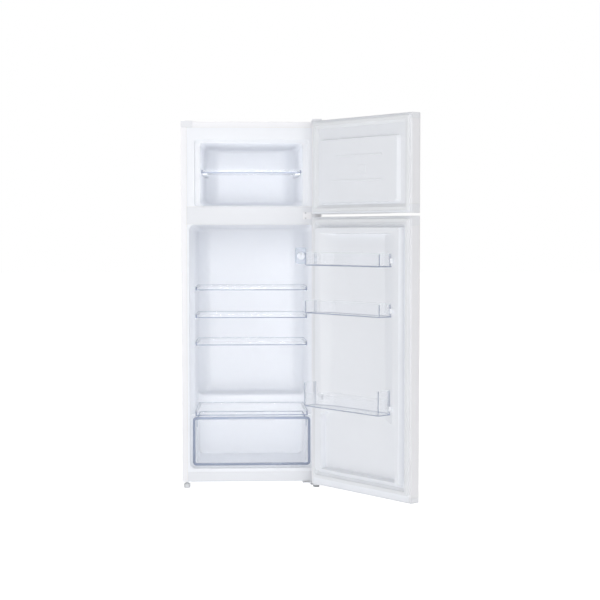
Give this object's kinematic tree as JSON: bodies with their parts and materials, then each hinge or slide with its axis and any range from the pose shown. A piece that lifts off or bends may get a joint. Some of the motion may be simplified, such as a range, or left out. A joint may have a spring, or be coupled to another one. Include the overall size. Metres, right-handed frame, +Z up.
{
  "type": "top freezer refrigerator",
  "caption": "Upright two-door refrigerator with the freezer on top, glass shelves, crisper drawer and door balconies, doors standing open.",
  "frame": {"origin": "centre of the front left levelling foot where it rests on the floor", "axes": "+Z up, +Y from the doors towards the wall behind, +X to the right as seen from the front"},
  "size_m": [0.8724, 0.965, 1.4383],
  "materials": {
    "enamel_steel": "satin white baked enamel on sheet steel",
    "galvanised_steel": "dull zinc-coated sheet",
    "liner_plastic": "semi-gloss white vacuum-formed polystyrene",
    "cap_plastic": "satin off-white moulded plastic",
    "seal_rubber": "soft matt white magnetic seal",
    "foam": "matt cream polyurethane foam",
    "shelf_glass": "clear tempered glass",
    "clear_plastic": "clear polystyrene",
    "white_trim": "glossy white moulded plastic",
    "zinc_steel": "bright zinc plate",
    "black_enamel": "semi-gloss black paint",
    "copper": "drawn copper tube",
    "aluminium": "roll-bonded plate",
    "dark_plastic": "matt dark grey moulded plastic"
  },
  "bodies": {
    "cabinet": {"cabinet_wrap": "enamel_steel", "back_panel": "galvanised_steel", "base_pan": "galvanised_steel", "bottom_rail": "enamel_steel", "mullion_cover": "liner_plastic", "fridge_liner": "liner_plastic", "freezer_liner": "liner_plastic", "cabinet_foam": "foam", "freezer_evaporator": "aluminium", "fridge_evaporator": "aluminium", "condenser_left": "copper", "condenser_right": "copper", "compressor": "black_enamel", "compressor_tray": "galvanised_steel", "relay_cover": "dark_plastic", "drip_tray": "dark_plastic", "drain_spout": "dark_plastic", "suction_pipe": "copper", "discharge_pipe": "copper", "drier_bottle": "copper", "rear_left_foot": "dark_plastic", "rear_right_foot": "dark_plastic", "top_hinge": "zinc_steel", "top_hinge_cover": "cap_plastic", "middle_hinge": "enamel_steel", "bottom_hinge": "zinc_steel", "blanking_cap": "cap_plastic", "thermostat_housing": "white_trim", "lamp_lens": "clear_plastic", "lamp_bulb": "shelf_glass"},
    "front_left_foot": {"front_left_foot": "dark_plastic"},
    "front_right_foot": {"front_right_foot": "dark_plastic"},
    "freezer_door": {"freezer_door_skin": "enamel_steel", "freezer_door_upper_cap": "cap_plastic", "freezer_door_lower_cap": "cap_plastic", "freezer_door_foam": "foam", "freezer_door_liner": "liner_plastic", "freezer_door_gasket": "seal_rubber"},
    "fridge_door": {"fridge_door_skin": "enamel_steel", "fridge_door_upper_cap": "cap_plastic", "fridge_door_lower_cap": "cap_plastic", "fridge_door_foam": "foam", "fridge_door_liner": "liner_plastic", "fridge_door_gasket": "seal_rubber"},
    "upper_balcony": {"upper_balcony": "clear_plastic"},
    "middle_balcony": {"middle_balcony": "clear_plastic"},
    "bottle_balcony": {"bottle_balcony": "clear_plastic"},
    "bottle_divider": {"bottle_divider": "clear_plastic"},
    "freezer_shelf": {"freezer_shelf_frame": "clear_plastic", "freezer_shelf_glass": "shelf_glass"},
    "upper_shelf": {"upper_shelf_frame": "clear_plastic", "upper_shelf_glass": "shelf_glass"},
    "middle_shelf": {"middle_shelf_frame": "clear_plastic", "middle_shelf_glass": "shelf_glass"},
    "lower_shelf": {"lower_shelf_frame": "clear_plastic", "lower_shelf_glass": "shelf_glass"},
    "crisper_cover": {"crisper_cover_frame": "white_trim", "crisper_cover_glass": "shelf_glass"},
    "crisper_drawer": {"crisper_drawer": "clear_plastic"},
    "thermostat_knob": {"thermostat_knob": "white_trim"}
  },
  "joints": [
    {"name": "freezer_door_hinge", "type": "hinge", "parent": "cabinet", "child": "freezer_door", "pos_m": [0.5125, -0.064, 1.25], "axis": [0, 0, 1], "range_deg": [-128, 7]},
    {"name": "fridge_door_hinge", "type": "hinge", "parent": "cabinet", "child": "fridge_door", "pos_m": [0.5125, -0.064, 0.54], "axis": [0, 0, 1], "range_deg": [-128, 7]},
    {"name": "upper_balcony_lift", "type": "slide", "parent": "fridge_door", "child": "upper_balcony", "axis": [0, 0, 1], "range_m": [0, 0.03]},
    {"name": "middle_balcony_lift", "type": "slide", "parent": "fridge_door", "child": "middle_balcony", "axis": [0, 0, 1], "range_m": [0, 0.03]},
    {"name": "bottle_balcony_lift", "type": "slide", "parent": "fridge_door", "child": "bottle_balcony", "axis": [0, 0, 1], "range_m": [0, 0.03]},
    {"name": "bottle_divider_slide", "type": "slide", "parent": "bottle_balcony", "child": "bottle_divider", "axis": [0.6157, -0.788, 0], "range_m": [-0.07, 0.29]},
    {"name": "freezer_shelf_slide", "type": "slide", "parent": "cabinet", "child": "freezer_shelf", "axis": [0, -1, 0], "range_m": [0, 0.25]},
    {"name": "upper_shelf_slide", "type": "slide", "parent": "cabinet", "child": "upper_shelf", "axis": [0, -1, 0], "range_m": [0, 0.2]},
    {"name": "middle_shelf_slide", "type": "slide", "parent": "cabinet", "child": "middle_shelf", "axis": [0, -1, 0], "range_m": [0, 0.2]},
    {"name": "lower_shelf_slide", "type": "slide", "parent": "cabinet", "child": "lower_shelf", "axis": [0, -1, 0], "range_m": [0, 0.2]},
    {"name": "crisper_cover_slide", "type": "slide", "parent": "cabinet", "child": "crisper_cover", "axis": [0, -1, 0], "range_m": [0, 0.2]},
    {"name": "crisper_drawer_slide", "type": "slide", "parent": "cabinet", "child": "crisper_drawer", "axis": [0, -1, 0], "range_m": [0, 0.27]},
    {"name": "thermostat_knob_turn", "type": "hinge", "parent": "cabinet", "child": "thermostat_knob", "pos_m": [0.455, 0.16, 0.908], "axis": [0, 1, 0], "range_deg": [-150, 150]},
    {"name": "front_left_foot_screw", "type": "hinge", "parent": "cabinet", "child": "front_left_foot", "pos_m": [0, 0, 0.01], "axis": [0, 0, 1], "range_deg": [-1080, 1080]},
    {"name": "front_right_foot_screw", "type": "hinge", "parent": "cabinet", "child": "front_right_foot", "pos_m": [0.508, 0, 0.01], "axis": [0, 0, 1], "range_deg": [-1080, 1080]}
  ]
}
